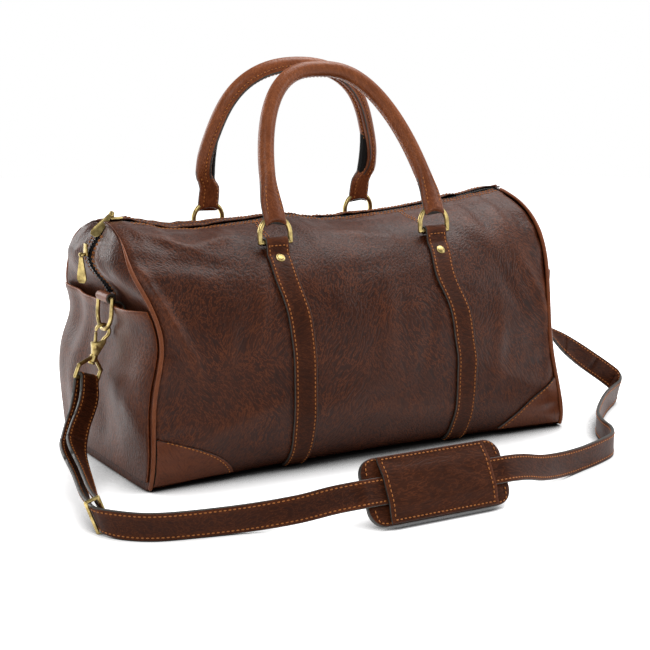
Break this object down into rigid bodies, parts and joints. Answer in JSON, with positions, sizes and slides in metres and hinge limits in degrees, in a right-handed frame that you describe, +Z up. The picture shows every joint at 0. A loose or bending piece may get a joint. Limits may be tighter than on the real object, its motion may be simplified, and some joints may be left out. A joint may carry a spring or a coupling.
{
  "type": "duffel bag",
  "caption": "Leather duffel bag with a zipped barrel top, rolled handles on brass rings, corner patches, end slip pockets and a hooked shoulder strap with a sliding pad.",
  "frame": {"origin": "on the floor under the middle of the bag", "axes": "+X along the bag, away from the zip sliders, -Y towards its front, +Z up"},
  "size_m": [0.739, 0.4522, 0.4115],
  "materials": {
    "shell_leather": "dark chestnut pull-up leather with an open grain and a soft sheen",
    "strap_leather": "chestnut strap leather with painted dark edges and tan stitching",
    "trim_leather": "chestnut leather worn lighter on its raised edges",
    "sling_leather": "chestnut strap leather with grey painted edges",
    "pad_leather": "chestnut leather with tan stitching and dark painted edges",
    "lining": "plain dark woven cotton",
    "board": "stiff fibre board",
    "core": "twisted cotton cord",
    "zip_tape": "black woven tape",
    "zip_teeth": "blackened metal teeth",
    "zip_brass": "antique brass, rubbed",
    "brass": "antique brass, rubbed on the high spots"
  },
  "bodies": {
    "bag": {"front_panel": "shell_leather", "back_panel": "shell_leather", "base_panel": "shell_leather", "left_end_panel": "shell_leather", "right_end_panel": "shell_leather", "left_end_pocket": "shell_leather", "right_end_pocket": "shell_leather", "base_board": "board", "body_lining": "lining", "left_end_lining": "lining", "right_end_lining": "lining", "front_left_patch": "trim_leather", "front_right_patch": "trim_leather", "rear_left_patch": "trim_leather", "rear_right_patch": "trim_leather", "left_piping": "trim_leather", "right_piping": "trim_leather", "front_zip_tape": "zip_tape", "rear_zip_tape": "zip_tape", "zip_teeth": "zip_teeth", "front_left_strap": "strap_leather", "front_right_strap": "strap_leather", "rear_left_strap": "strap_leather", "rear_right_strap": "strap_leather", "strap_rivets": "brass", "left_ring_tab": "trim_leather", "right_ring_tab": "trim_leather", "strap_drop": "sling_leather", "strap_run": "sling_leather", "strap_buckle": "brass"},
    "front_rings": {"front_left_ring": "brass", "front_right_ring": "brass"},
    "front_handle": {"front_handle": "strap_leather", "front_handle_core": "core", "front_left_tab": "strap_leather", "front_right_tab": "strap_leather"},
    "rear_rings": {"rear_left_ring": "brass", "rear_right_ring": "brass"},
    "rear_handle": {"rear_handle": "strap_leather", "rear_handle_core": "core", "rear_left_tab": "strap_leather", "rear_right_tab": "strap_leather"},
    "upper_slider": {"upper_slider": "zip_brass"},
    "upper_pull": {"upper_pull": "zip_brass"},
    "lower_slider": {"lower_slider": "zip_brass"},
    "lower_pull": {"lower_pull": "zip_brass"},
    "left_d_ring": {"left_d_ring": "brass"},
    "left_hook": {"left_hook": "brass", "left_gate_pin": "brass"},
    "left_gate": {"left_gate": "brass"},
    "left_swivel": {"left_swivel": "brass"},
    "right_d_ring": {"right_d_ring": "brass"},
    "right_hook": {"right_hook": "brass", "right_gate_pin": "brass"},
    "right_gate": {"right_gate": "brass"},
    "right_swivel": {"right_swivel": "brass"},
    "shoulder_pad": {"pad_base": "pad_leather", "pad_sleeve": "pad_leather"}
  },
  "joints": [
    {"name": "front_rings", "type": "hinge", "parent": "bag", "child": "front_rings", "pos_m": [0, -0.07809, 0.22711], "axis": [1, 0, 0], "range_deg": [0, 65]},
    {"name": "front_handle", "type": "hinge", "parent": "front_rings", "child": "front_handle", "pos_m": [0, -0.07591, 0.25202], "axis": [1, 0, 0], "range_deg": [0, 85]},
    {"name": "rear_rings", "type": "hinge", "parent": "bag", "child": "rear_rings", "pos_m": [0, 0.07809, 0.22711], "axis": [-1, 0, 0], "range_deg": [0, 65]},
    {"name": "rear_handle", "type": "hinge", "parent": "rear_rings", "child": "rear_handle", "pos_m": [0, 0.07591, 0.25202], "axis": [-1, 0, 0], "range_deg": [0, 85]},
    {"name": "upper_slider", "type": "slide", "parent": "bag", "child": "upper_slider", "axis": [0.9999, 0, 0.0142], "range_m": [0, 0.43]},
    {"name": "upper_pull", "type": "hinge", "parent": "upper_slider", "child": "upper_pull", "pos_m": [-0.2368, 0, 0.25609], "axis": [0, 1, 0], "range_deg": [0, 180]},
    {"name": "lower_slider", "type": "slide", "parent": "bag", "child": "lower_slider", "axis": [0, 0, -1], "range_m": [0, 0.024]},
    {"name": "lower_pull", "type": "hinge", "parent": "lower_slider", "child": "lower_pull", "pos_m": [-0.26988, 0, 0.2172], "axis": [0, 1, 0], "range_deg": [0, 150]},
    {"name": "left_d_ring", "type": "hinge", "parent": "bag", "child": "left_d_ring", "pos_m": [-0.25345, -0.02, 0.177], "axis": [0, 1, 0], "range_deg": [0, 90], "deforming": ["strap_drop"]},
    {"name": "left_hook", "type": "hinge", "parent": "left_d_ring", "child": "left_hook", "pos_m": [-0.2568, -0.02, 0.14517], "axis": [0, 1, 0], "range_deg": [0, 60], "deforming": ["strap_drop"]},
    {"name": "left_gate", "type": "hinge", "parent": "left_hook", "child": "left_gate", "pos_m": [-0.26596, -0.02, 0.12784], "axis": [0, 1, 0], "range_deg": [0, 18], "stiffness_Nm_per_rad": 0.02},
    {"name": "left_swivel", "type": "hinge", "parent": "left_hook", "child": "left_swivel", "pos_m": [-0.2568, -0.02, 0.14517], "axis": [0.3746, 0, 0.9272], "range_deg": [-60, 60], "deforming": ["strap_drop"]},
    {"name": "right_d_ring", "type": "hinge", "parent": "bag", "child": "right_d_ring", "pos_m": [0.25345, -0.02, 0.177], "axis": [0, -1, 0], "range_deg": [0, 90], "deforming": ["strap_run"]},
    {"name": "right_hook", "type": "hinge", "parent": "right_d_ring", "child": "right_hook", "pos_m": [0.2568, -0.02, 0.14517], "axis": [0, -1, 0], "range_deg": [0, 60], "deforming": ["strap_run"]},
    {"name": "right_gate", "type": "hinge", "parent": "right_hook", "child": "right_gate", "pos_m": [0.26596, -0.02, 0.12784], "axis": [0, -1, 0], "range_deg": [0, 18], "stiffness_Nm_per_rad": 0.02},
    {"name": "right_swivel", "type": "hinge", "parent": "right_hook", "child": "right_swivel", "pos_m": [0.2568, -0.02, 0.14517], "axis": [-0.3746, 0, 0.9272], "range_deg": [-60, 60], "deforming": ["strap_run"]},
    {"name": "shoulder_pad", "type": "slide", "parent": "bag", "child": "shoulder_pad", "axis": [1, 0, 0], "range_m": [-0.03, 0.03], "deforming": ["strap_run"]}
  ],
  "couplings": [
    {"joint": "upper_pull", "follows": "upper_slider", "rad_per_m": 7.306}
  ]
}
